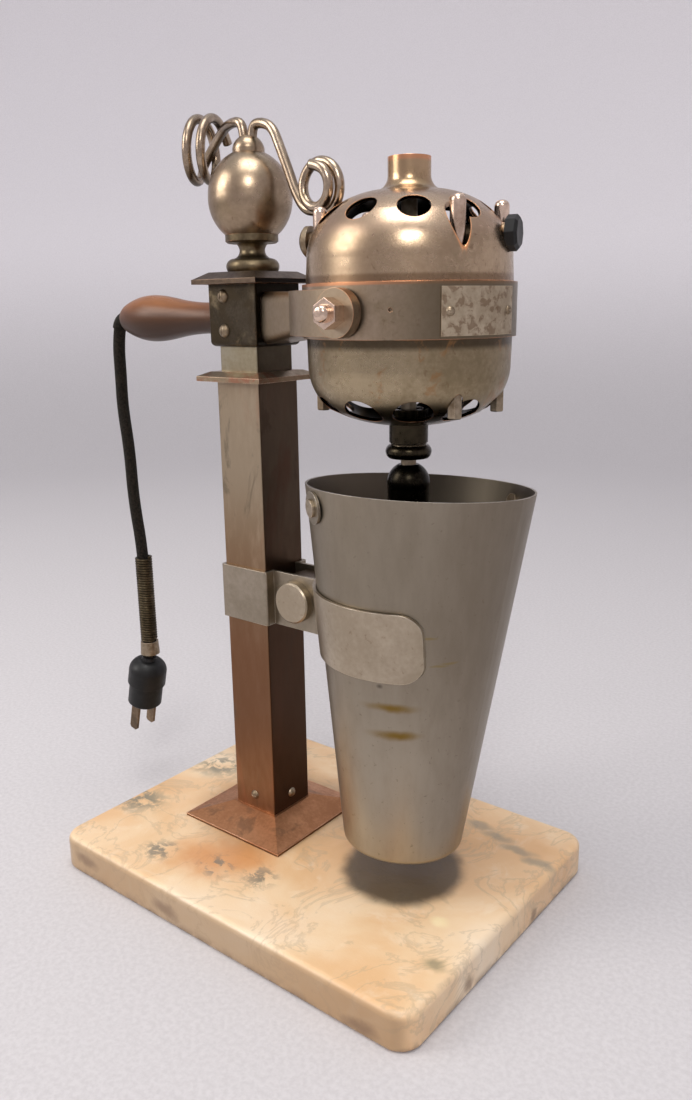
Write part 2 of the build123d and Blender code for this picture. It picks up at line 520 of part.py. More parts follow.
coils = []
for pole in (0, 180):
    coil = sector(COIL_INNER, COIL_OUTER, CORE_BOTTOM - COIL_OVERHANG, CORE_TOP + COIL_OVERHANG, pole, 70)
    coil -= sector(COIL_INNER - 1, COIL_OUTER + 1, CORE_BOTTOM, CORE_TOP, pole, 46)
    coils.append(coil)
    for side in (-1, 1):
        middle = pole + side * 58
        field_core -= sector(COIL_INNER, COIL_OUTER, CORE_BOTTOM - 1, CORE_TOP + 1, middle, 12.01)
save("field_core", field_core)
save("field_coils", *coils)

# Brush gear: two tubes through the upper shell on one line across the commutator.
brush_tubes, brushes = [], []
for turn, tube_end in zip((0, 180), BRUSH_TUBE_ENDS):
    angle = BRUSH_ANGLE + turn
    way = outward(angle)
    tube_start = COMMUTATOR_RADIUS + 3
    tube_length = tube_end - tube_start
    middle = around_motor(angle, tube_start + tube_length / 2, BRUSH_HEIGHT)
    outside = drilled(middle, way, BRUSH_TUBE_RADIUS, tube_length)
    brush_tubes.append(outside - drilled(middle, way, BRUSH_RADIUS, tube_length + 2))
    upper_shell -= drilled(around_motor(angle, 40, BRUSH_HEIGHT), way, BRUSH_TUBE_RADIUS, 20)
    brush_start, brush_length = COMMUTATOR_RADIUS + 0.3, 16.0
    middle = around_motor(angle, brush_start + brush_length / 2, BRUSH_HEIGHT)
    brushes.append(drilled(middle, way, BRUSH_RADIUS, brush_length))
save("brush_tubes", *brush_tubes)
save("brushes", *brushes)

cap_outline = [
    Polyline((0, 0), (BRUSH_CAP_RADIUS, 0), (BRUSH_CAP_RADIUS, 2.2)),
    crown(BRUSH_CAP_RADIUS, 2.2, 5.2),
    Line((0, 5.2), (0, 0)),
]
cap_seat = Plane(origin=around_motor(BRUSH_ANGLE + 180, BRUSH_TUBE_ENDS[1], BRUSH_HEIGHT),
                 z_dir=outward(BRUSH_ANGLE + 180))
save("brush_cap_metal", cap_seat * turned(*cap_outline))
black_cap = extrude(RegularPolygon(BRUSH_CAP_RADIUS + 0.5, 8), 5.0)
black_cap = chamfer(black_cap.faces().sort_by(Axis.Z)[-1].edges(), 1.2)
cap_seat = Plane(origin=around_motor(BRUSH_ANGLE, BRUSH_TUBE_ENDS[0], BRUSH_HEIGHT),
                 z_dir=outward(BRUSH_ANGLE))
black_cap = cap_seat * black_cap
upper_shell -= black_cap
save("brush_cap_black", black_cap)
save("upper_shell", upper_shell)

bearing_bore = SHAFT_RADIUS + RUNNING_GAP
neck_bore = NECK_RADIUS - SHELL_WALL
neck_bearing = ring(neck_bore, bearing_bore, 342, 347.4, MOTOR_X)
nose_bearing = ring(BEARING_RADIUS, bearing_bore, NOSE_BOTTOM + 1, 244, MOTOR_X)
save("shaft_bearings", neck_bearing, nose_bearing)
save("lower_shell", lower_shell)
shell_floor = LOWER_BOTTOM + SHELL_WALL
nose_bushing = turned(
    Polyline((BEARING_RADIUS, NOSE_BOTTOM), (NOSE_LIP_RADIUS - 1.4, NOSE_BOTTOM)),
    ThreePointArc((NOSE_LIP_RADIUS - 1.4, NOSE_BOTTOM), (NOSE_LIP_RADIUS, 227.3),
                  (NOSE_LIP_RADIUS - 1.6, LIP_TOP)),
    Polyline((NOSE_LIP_RADIUS - 1.6, LIP_TOP), (NOSE_RADIUS - 0.7, LIP_TOP),
             (NOSE_RADIUS - 0.7, LIP_TOP + 0.8), (NOSE_RADIUS, LIP_TOP + 1.2), (NOSE_RADIUS, shell_floor),
             (NOSE_RADIUS, 246), (BEARING_RADIUS, 246), (BEARING_RADIUS, NOSE_BOTTOM)),
    x=MOTOR_X,
)
save("nose_bushing", nose_bushing)

# Blank nameplate, curved to the band, with a round-head screw at each end.
plate_bottom = (BAND_BOTTOM + BAND_TOP - NAMEPLATE_HEIGHT) / 2 - 0.4
plate_top = plate_bottom + NAMEPLATE_HEIGHT
nameplate = sector(BAND_RADIUS, BAND_RADIUS + NAMEPLATE_THICK, plate_bottom, plate_top,
                   PLATE_ANGLE, PLATE_SPREAD)
name_screws = []
for side in (-1, 1):
    angle = PLATE_ANGLE + side * (PLATE_SPREAD - 4.5)
    seat = around_motor(angle, BAND_RADIUS + NAMEPLATE_THICK, (plate_bottom + plate_top) / 2)
    name_screws.append(round_head_screw(seat, outward(angle), 1.9, 1.2, 0.9, 3.5))
    drill = drilled(seat, outward(angle), 0.9, 8.0)
    nameplate -= drill
    motor_band -= drill
oil_hole_angle = -64.5
motor_band -= drilled(around_motor(oil_hole_angle, BAND_RADIUS, 288), outward(oil_hole_angle), 0.8, 4.0)
save("motor_band", motor_band)
save("nameplate", nameplate)
save("nameplate_screws", *name_screws)

# ---------------------------------------------------------------- rotor and agitator
save("armature_shaft", rod(SHAFT_RADIUS, ROD_TOP, SHAFT_TOP, MOTOR_X))
armature_core = ring(CORE_BORE - 0.6, SHAFT_RADIUS, CORE_BOTTOM + 1, CORE_TOP - 1, MOTOR_X)
slot_count = 12
for count in range(slot_count):
    angle = 360 / slot_count * count
    armature_core -= rod(1.8, 270, 305, *around_motor(angle, CORE_BORE - 3.2, 0)[:2])
save("armature_core", armature_core)
save("commutator", ring(COMMUTATOR_RADIUS, SHAFT_RADIUS, BRUSH_HEIGHT - 7, BRUSH_HEIGHT + 7, MOTOR_X))
cooling_fan = ring(7.0, SHAFT_RADIUS, FAN_BOTTOM, FAN_TOP, MOTOR_X)
cooling_fan += ring(FAN_RADIUS, 6.0, FAN_TOP - 1.2, FAN_TOP, MOTOR_X)
for count in range(FAN_BLADES):
    blade = Pos(17.5, 0, (FAN_BOTTOM + FAN_TOP) / 2) * Box(23.0, 1.2, FAN_TOP - FAN_BOTTOM)
    cooling_fan += Pos(MOTOR_X, 0, 0) * Rot(0, 0, 360 / FAN_BLADES * count) * blade
save("cooling_fan", cooling_fan)

spindle_coupling = turned(
    Polyline((0, COUPLING_TOP), (4.6, COUPLING_TOP)),
    ThreePointArc((4.6, COUPLING_TOP), (8.3, 218.0), (COUPLING_RADIUS, 211.0)),
    Line((COUPLING_RADIUS, 211.0), (COUPLING_RADIUS, 203.0)),
    ThreePointArc((COUPLING_RADIUS, 203.0), (8.0, 194.5), (4.2, COUPLING_BOTTOM)),
    Polyline((4.2, COUPLING_BOTTOM), (0, COUPLING_BOTTOM), (0, COUPLING_TOP)),
    x=MOTOR_X,
)
spindle_coupling -= rod(SHAFT_RADIUS, ROD_TOP, COUPLING_TOP + 1, MOTOR_X)
spindle_coupling -= rod(ROD_RADIUS, COUPLING_BOTTOM - 1, ROD_TOP, MOTOR_X)
save("spindle_coupling", spindle_coupling)
save("agitator_rod", rod(ROD_RADIUS, ROD_BOTTOM, ROD_TOP, MOTOR_X))
agitator = turned(
    Polyline((ROD_RADIUS, ROD_BOTTOM), (5.0, ROD_BOTTOM), (AGITATOR_RADIUS, ROD_BOTTOM + 3.0),
             (AGITATOR_RADIUS, ROD_BOTTOM + 3.0 + AGITATOR_THICK), (5.0, ROD_BOTTOM + AGITATOR_THICK),
             (5.0, ROD_BOTTOM + 7.0), (ROD_RADIUS, ROD_BOTTOM + 7.0), (ROD_RADIUS, ROD_BOTTOM)),
    x=MOTOR_X,
)
for count in range(6):
    notch_x, notch_y, _ = around_motor(60 * count, AGITATOR_RADIUS, 0)
    agitator -= rod(2.6, 55, 75, notch_x, notch_y)
save("agitator_disc", agitator)

# ---------------------------------------------------------------- cup, built upright and then leaned
cup_place = Pos(CUP_X, CUP_Y, CUP_LEVEL) * Rot(-CUP_TILT, 0, 0) * Pos(0, 0, -CUP_LEVEL_HEIGHT)
cup_flare = (CUP_RIM_RADIUS - CUP_FOOT_RADIUS) / CUP_HEIGHT


def cup_form(grow, bottom=0.0):
    """Solid cone of the cup, grown or shrunk by a wall."""
    foot, rim = CUP_FOOT_RADIUS + grow, CUP_RIM_RADIUS + grow
    foot += cup_flare * bottom
    outline = Polyline((0, bottom), (foot, bottom), (rim, CUP_HEIGHT), (0, CUP_HEIGHT), (0, bottom))
    return turned(outline)


cup_outside = cup_form(0)
cup_outside = fillet(cup_outside.faces().sort_by(Axis.Z)[0].edges(), 4.0)
cup_body = cup_outside - cup_form(-CUP_WALL, bottom=1.2)
ear_plates, ear_rivets = [], []
for turn in (0, 180):
    way = outward(CUP_EAR_ANGLE + turn)
    surface = CUP_FOOT_RADIUS + cup_flare * CUP_EAR_HEIGHT
    seat = (surface * way[0], surface * way[1], CUP_EAR_HEIGHT)
    lean = Vector(way[0], way[1], -cup_flare)
    shank = drilled(seat, lean, 1.8, 8.0)
    plate = Plane(origin=seat, z_dir=lean) * Pos(0, 0, 0.6) * Cylinder(CUP_EAR_RADIUS, 1.2)
    rivet = Plane(origin=seat, z_dir=lean) * Pos(0, 0, 0.1) * Cylinder(1.8, 2.6)
    outer_head = Plane(origin=seat, z_dir=lean) * Pos(0, 0, 1.9) * Cylinder(4.0, 1.4)
    inner_head = Plane(origin=seat, z_dir=lean) * Pos(0, 0, -1.8) * Cylinder(3.9, 1.2)
    ear_plates.append(cup_place * (plate - shank))
    ear_rivets.append(cup_place * (rivet + outer_head + inner_head))
    cup_body -= shank
save("cup_body", cup_place * cup_body)
save("cup_ear_plates", *ear_plates)
save("cup_ear_rivets", *ear_rivets)

# ---------------------------------------------------------------- cup holder and its clamp
holder_middle = (HOLDER_BOTTOM + HOLDER_TOP) / 2
holder_height = HOLDER_TOP - HOLDER_BOTTOM
holder_left = 40.0
side_view = Plane.XZ * Pos((HOLDER_REACH + holder_left) / 2, holder_middle)
side_outline = side_view * RectangleRounded(HOLDER_REACH - holder_left, holder_height, HOLDER_CORNER)
side_outline += Plane.XZ * Pos(holder_left + 17, holder_middle) * Rectangle(34, holder_height)
window = extrude(side_outline, 70, both=True)
band_outside = cup_place * cup_form(HOLDER_GAP + HOLDER_WALL)
band_inside = cup_place * cup_form(HOLDER_GAP, bottom=10.0)
holder_band = (band_outside & window) - band_inside

flange_inside = STRAP_BORE / 2
strap_outside = flange_inside + STRAP_WALL
flange_outside = FLANGE_HALF_GAP + STRAP_WALL
strap_outline = RectangleRounded(2 * strap_outside, 2 * strap_outside, 1.4)
strap_outline -= Rectangle(STRAP_BORE, STRAP_BORE)
strap_outline -= Pos(strap_outside, 0) * Rectangle(8, 2 * FLANGE_HALF_GAP)
for side in (-1, 1):
    flange_y = side * (FLANGE_HALF_GAP + STRAP_WALL / 2)
    strap_outline += Pos((flange_inside + FLANGE_REACH) / 2, flange_y) * Rectangle(
        FLANGE_REACH - flange_inside, STRAP_WALL)
clamp_strap = Pos(0, 0, STRAP_BOTTOM) * extrude(strap_outline, STRAP_TOP - STRAP_BOTTOM)
clamp_hole = drilled((CLAMP_X, 0, CLAMP_Z), (0, 1, 0), CLAMP_RADIUS + 0.06, 60)
clamp_strap -= clamp_hole
save("clamp_strap", clamp_strap)

bracket_start, bracket_end = 22.0, 58.0
holder_bracket = Pos((bracket_start + bracket_end) / 2, 0, CLAMP_Z) * Box(
    bracket_end - bracket_start, 2 * FLANGE_HALF_GAP, 22.0)
holder_bracket = holder_bracket - band_outside - clamp_hole
rivet_heights = (CLAMP_Z - 6.5, CLAMP_Z + 6.5)
band_rivets = []
for height in rivet_heights:
    rivet = drilled((46.0, 0, height), (1, 0, 0), 2.2, 14.0)
    holder_bracket -= rivet
    holder_band -= rivet
    band_rivets.append(rivet - (cup_place * cup_form(HOLDER_GAP + 0.2, bottom=10.0)))
save("holder_bracket", holder_bracket)
save("holder_band", holder_band)
save("band_rivets", *band_rivets)

nut_inside = flange_outside
clamp_nut = hexagon(10.0, 4.5, (CLAMP_X, nut_inside, CLAMP_Z), (0, 1, 0))
save("clamp_nut", clamp_nut - drilled((CLAMP_X, 0, CLAMP_Z), (0, 1, 0), CLAMP_RADIUS + RUNNING_GAP, 60))
knob_face = flange_outside + 0.1
knob = drilled((CLAMP_X, -knob_face - KNOB_THICK / 2, CLAMP_Z), (0, 1, 0), KNOB_RADIUS, KNOB_THICK)
knob = chamfer(knob.faces().sort_by(Axis.Y)[0].edges(), 0.8)
screw_length = knob_face + flange_outside + 6.0
knob += drilled((CLAMP_X, screw_length / 2 - knob_face, CLAMP_Z), (0, 1, 0), CLAMP_RADIUS, screw_length)
save("clamp_knob", knob)
print("post left in the column at full lift", round(COLUMN_TOP - boss_top - LIFT_TRAVEL, 1))
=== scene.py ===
"""Milkshake mixer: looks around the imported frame.

Lengths are in metres in the row's own frame, unless they are called millimetres.
"""
import math

import bpy
from mathutils import Matrix, Vector


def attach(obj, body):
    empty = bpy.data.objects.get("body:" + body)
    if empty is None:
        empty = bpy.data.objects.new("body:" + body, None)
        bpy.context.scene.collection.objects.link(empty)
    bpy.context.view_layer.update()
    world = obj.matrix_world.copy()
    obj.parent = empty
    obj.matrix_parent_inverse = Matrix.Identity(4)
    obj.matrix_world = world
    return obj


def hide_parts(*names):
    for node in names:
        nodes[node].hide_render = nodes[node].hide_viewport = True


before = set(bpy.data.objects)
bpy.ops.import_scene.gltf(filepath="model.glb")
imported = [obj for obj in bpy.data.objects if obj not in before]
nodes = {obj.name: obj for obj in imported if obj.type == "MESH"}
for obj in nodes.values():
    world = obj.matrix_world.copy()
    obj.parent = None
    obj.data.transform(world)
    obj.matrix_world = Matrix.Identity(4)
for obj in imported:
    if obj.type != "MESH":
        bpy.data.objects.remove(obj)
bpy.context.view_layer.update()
MM = 0.001

MOTOR_MIDDLE = (0.0906, 0, 0.287)
CUP_AXIS = (0.093, 0.001, 0)
SLAB_TOP, SLAB_FRONT, SLAB_END = 18, -87, 150  # millimetres

CAMERA_PLACE = (0.32106, -0.33548, 0.28952)
CAMERA_ANGLES = (38.48, 14.79, -0.85)  # azimuth, pitch and roll, in degrees
CAMERA_LENS = 30.19


# ------------------------------------------------------------------ camera
def aim_camera():
    """The camera at the place and angles that were solved for the picture."""
    azimuth, pitch, roll = map(math.radians, CAMERA_ANGLES)
    back = Vector((math.sin(azimuth) * math.cos(pitch), -math.cos(azimuth) * math.cos(pitch),
                   math.sin(pitch)))
    level = Vector((math.cos(azimuth), math.sin(azimuth), 0))
    upright = back.cross(level)
    right = level * math.cos(roll) + upright * math.sin(roll)
    up = upright * math.cos(roll) - level * math.sin(roll)
    data = bpy.data.cameras.new("camera")
    data.sensor_width = 36.0
    data.lens = CAMERA_LENS
    data.clip_start, data.clip_end = 0.01, 50.0
    camera = bpy.data.objects.new("camera", data)
    bpy.context.scene.collection.objects.link(camera)
    turn = Matrix((right, up, back)).transposed().to_4x4()
    camera.matrix_world = Matrix.Translation(CAMERA_PLACE) @ turn
    bpy.context.scene.camera = camera


aim_camera()


# ------------------------------------------------------------------ material graphs
class Graph:
    """A material's node tree, with short calls for the nodes that all of them use."""

    def __init__(self, name, **sockets):
        self.material = bpy.data.materials.new(name)
        self.material.use_nodes = True
        self.tree = self.material.node_tree
        self.shader = self.tree.nodes["Principled BSDF"]
        coordinates = self.tree.nodes.new("ShaderNodeTexCoord")
        self.place, self.normal = coordinates.outputs["Object"], coordinates.outputs["Normal"]
        self.set(**sockets)

    def node(self, kind, sockets=(), **settings):
        made = self.tree.nodes.new(kind)
        for key, value in settings.items():
            setattr(made, key, value)
        for key, value in dict(sockets).items():
            self.plug(made.inputs[key], value)
        return made

    def plug(self, socket, value):
        """Link the socket to another one, or give it a constant."""
        if isinstance(value, bpy.types.NodeSocket):
            self.tree.links.new(value, socket)
        else:
            if socket.type == "RGBA" and len(value) == 3:
                value = (*value, 1.0)
            socket.default_value = value

    def set(self, **sockets):
        """Set sockets of the shader, with _ for the spaces in their names."""
        for key, value in sockets.items():
            self.plug(self.shader.inputs[key.replace("_", " ")], value)

    def math(self, operation, a, b=0.0, clamp=False):
        return self.node("ShaderNodeMath", {0: a, 1: b}, operation=operation,
                         use_clamp=clamp).outputs[0]

    def vector(self, operation, a, b=(0, 0, 0), output=0, **sockets):
        """A sum of vectors. Output 1 is the value of a dot product or a length."""
        return self.node("ShaderNodeVectorMath", {0: a, 1: b, **sockets},
                         operation=operation).outputs[output]

    def split(self, vector=None):
        return self.node("ShaderNodeSeparateXYZ", {0: vector or self.place}).outputs

    def scaled(self, scale):
        """The place, stretched for streaks."""
        return self.node("ShaderNodeMapping", {"Vector": self.place, "Scale": scale}).outputs[0]

    def noise(self, scale, detail=4.0, roughness=0.55, distortion=0.0, place=None):
        return self.node("ShaderNodeTexNoise", {
            "Vector": place or self.place, "Scale": scale, "Detail": detail,
            "Roughness": roughness, "Distortion": distortion}).outputs[0]

    def step(self, value, low, high, start=0.0, end=1.0):
        """start below low and end above high, with a smooth change between them."""
        return self.node("ShaderNodeMapRange", {"Value": value, 1: low, 2: high, 3: start, 4: end},
                         interpolation_type="SMOOTHSTEP").outputs[0]

    def mix(self, share, a, b):
        return self.node("ShaderNodeMix", {0: share, 6: a, 7: b}, data_type="RGBA").outputs[2]

    def ramp(self, value, *stops):
        made = self.node("ShaderNodeValToRGB", {0: value})
        points = made.color_ramp.elements
        while len(points) < len(stops):
            points.new(0.5)
        for point, (where, colour) in zip(points, stops):
            point.position, point.color = where, (*colour, 1.0)
        return made.outputs[0]

    def rounded(self, radius):
        return self.node("ShaderNodeBevel", {"Radius": radius}, samples=6).outputs[0]

    def edges(self, radius):
        """1 within the radius of a sharp edge, 0 on flats."""
        true = self.node("ShaderNodeNewGeometry").outputs["True Normal"]
        product = self.vector("DOT_PRODUCT", self.rounded(radius), true, output=1)
        return self.step(self.math("SUBTRACT", 1.0, product), 0.02, 0.25)

    def spot(self, centre, size, blur=0.5, warp=0.0, scale=60.0):
        """A soft ellipsoid, 1 at its middle. warp bends its rim with noise."""
        place = self.place
        if warp:
            wobble = self.node("ShaderNodeTexNoise", {"Vector": place, "Scale": scale,
                                                      "Detail": 5.0})
            shift = self.vector("SUBTRACT", wobble.outputs[1], (0.5, 0.5, 0.5))
            place = self.vector("ADD", place, self.vector("SCALE", shift, Scale=warp))
        flat = self.vector("DIVIDE", self.vector("SUBTRACT", place, centre), size)
        return self.step(self.vector("LENGTH", flat, output=1), 1.0 - blur, 1.0, 1.0, 0.0)

    def bump(self, height, strength, distance, rounding=None):
        sockets = {"Height": height, "Strength": strength, "Distance": distance}
        if rounding:
            sockets["Normal"] = self.rounded(rounding)
        self.set(Normal=self.node("ShaderNodeBump", sockets).outputs[0])
        return self


def facing(axis, low, high):
    """Mask of faces by their normal's share along axis 0, 1 or 2: 0 at low, rising to 1 at high."""
    return lambda g: g.step(g.split(g.normal)[axis], low, high)


def between(low, high, blur):
    """Mask of the heights from low to high, in millimetres."""
    def mask(g):
        height = g.split()[2]
        rising = g.step(height, (low - blur) * MM, (low + blur) * MM)
        falling = g.step(height, (high - blur) * MM, (high + blur) * MM, 1.0, 0.0)
        return g.math("MULTIPLY", rising, falling)
    return mask


def marks(size, *centres, warp=0.0, share=1.0):
    """Mask of soft round marks at places given in millimetres."""
    def mask(g):
        total = None
        for centre in centres:
            spot = g.spot([v * MM for v in centre], [v * MM for v in size], 0.8, warp * MM, 120.0)
            total = g.math("MAXIMUM", total, spot) if total else spot
        return g.math("MULTIPLY", total, share)
    return mask


def blotch(scale, low, high, streak=(1, 1, 1)):
    """Mask of ragged blotches. A streak below 1 draws them out along that axis."""
    return lambda g: g.step(g.noise(scale, 6.0, 0.62, 0.5, g.scaled(streak)), low, high)


def both(one, other):
    """Mask of where both masks are."""
    return lambda g: g.math("MULTIPLY", one(g), other(g))


def part(mask, share):
    """The mask at a share of its strength."""
    return lambda g: g.math("MULTIPLY", mask(g), share)


def towards(centre, counted, low, high):
    """Mask of faces that look towards the centre, over the axes counted with a 1."""
    def mask(g):
        away = g.vector("MULTIPLY", g.vector("SUBTRACT", g.place, centre), counted)
        return g.step(g.vector("DOT_PRODUCT", away, g.normal, output=1), low, high, 1.0, 0.0)
    return mask


# Painted shade: the inner faces of the motor shells, towards the motor's middle, are blackened.
SHADED_INNER_SKIN = towards(MOTOR_MIDDLE, (1, 1, 1), -0.002, 0.002)
# Painted shade: the inside of the cup is darkened.
SHADED_CUP_INSIDE = towards(CUP_AXIS, (1, 1, 0), -0.004, 0.0)
SOFT_EDGE = 0.3 * MM
PIT_DEPTH = 0.2 * MM


def metal(name, light, dark, rough=(0.28, 0.5), worn=None, wear=0.6 * MM, scale=30.0,
          streak=(1, 1, 1), patches=(), rounding=SOFT_EDGE):
    """Old plated metal: cloudy tarnish, fine pits, worn edges and patches of other colours."""
    g = Graph(name, Metallic=1.0)
    stretched = g.scaled(streak)
    cloud = g.noise(scale, 7.0, 0.62, 0.3, stretched)
    grain = g.noise(scale * 14, 5.0, 0.6, 0.0, stretched)
    tone = g.math("ADD", g.math("MULTIPLY", cloud, 0.7), g.math("MULTIPLY", grain, 0.3))
    colour = g.mix(g.step(tone, 0.38, 0.66), dark, light)
    for mask, tint in patches:
        colour = g.mix(mask(g), colour, tint)
    if worn:
        edge = g.math("MULTIPLY", g.edges(wear), g.step(g.noise(90.0, 3.0), 0.3, 0.6), clamp=True)
        colour = g.mix(edge, colour, worn)
    roughness = g.step(tone, 0.3, 0.7, rough[1], rough[0])
    g.set(Base_Color=colour, Roughness=roughness)
    return g.bump(g.noise(2600.0, 3.0), 0.12, PIT_DEPTH, rounding).material


def dielectric(name, light, dark, rough, scale, pits=0.2, streak=(1, 1, 1), patches=(), **sockets):
    """Wood, cloth, rubber and the like: two tones, patches and a fine grain."""
    g = Graph(name, **sockets)
    tone = g.noise(scale, 5.0, 0.6, 0.2, g.scaled(streak))
    colour = g.mix(g.step(tone, 0.35, 0.65), dark, light)
    for mask, tint in patches:
        colour = g.mix(mask(g), colour, tint)
    g.set(Base_Color=colour, Roughness=g.step(tone, 0.3, 0.7, rough[1], rough[0]))
    return g.bump(g.noise(1500.0, 3.0), pits, PIT_DEPTH, SOFT_EDGE).material


# The first colour here is a near black that the patches use only for painted shade.
SHADE_DARK, BROWN, OLIVE = (0.05, 0.035, 0.022), (0.17, 0.10, 0.055), (0.26, 0.20, 0.12)
COPPER, RUST, PINKISH = (0.62, 0.30, 0.16), (0.30, 0.15, 0.06), (0.72, 0.50, 0.38)
# The last colour here is the black of the painted shade inside the motor shells.
BEIGE, SHADE_BLACK = (0.66, 0.52, 0.36), (0.01, 0.008, 0.006)
SHADED_SIDE = facing(0, 0.5, 0.85)
# Painted shade: this mask darkens the faces that look downwards.
SHADED_UNDERSIDE = facing(2, -0.35, -0.85)
# Faces that look towards -Y: the patches that use this mask paint a highlight on the yoke's front
# and shade on the slab's front.
PAINTED_FRONT_SIDE = facing(1, -0.5, -0.95)


def nickel(name, light=(0.46, 0.36, 0.25), dark=(0.30, 0.22, 0.15), patches=(), worn=COPPER,
           **settings):
    """Warm worn nickel plate, brown in its hollows and coppery at its edges."""
    shared = [(part(blotch(55.0, 0.56, 0.7), 0.5), OLIVE),
              (part(blotch(300.0, 0.6, 0.7), 0.45), BROWN)]
    return metal(name, light, dark, worn=worn, patches=shared + list(patches), **settings)


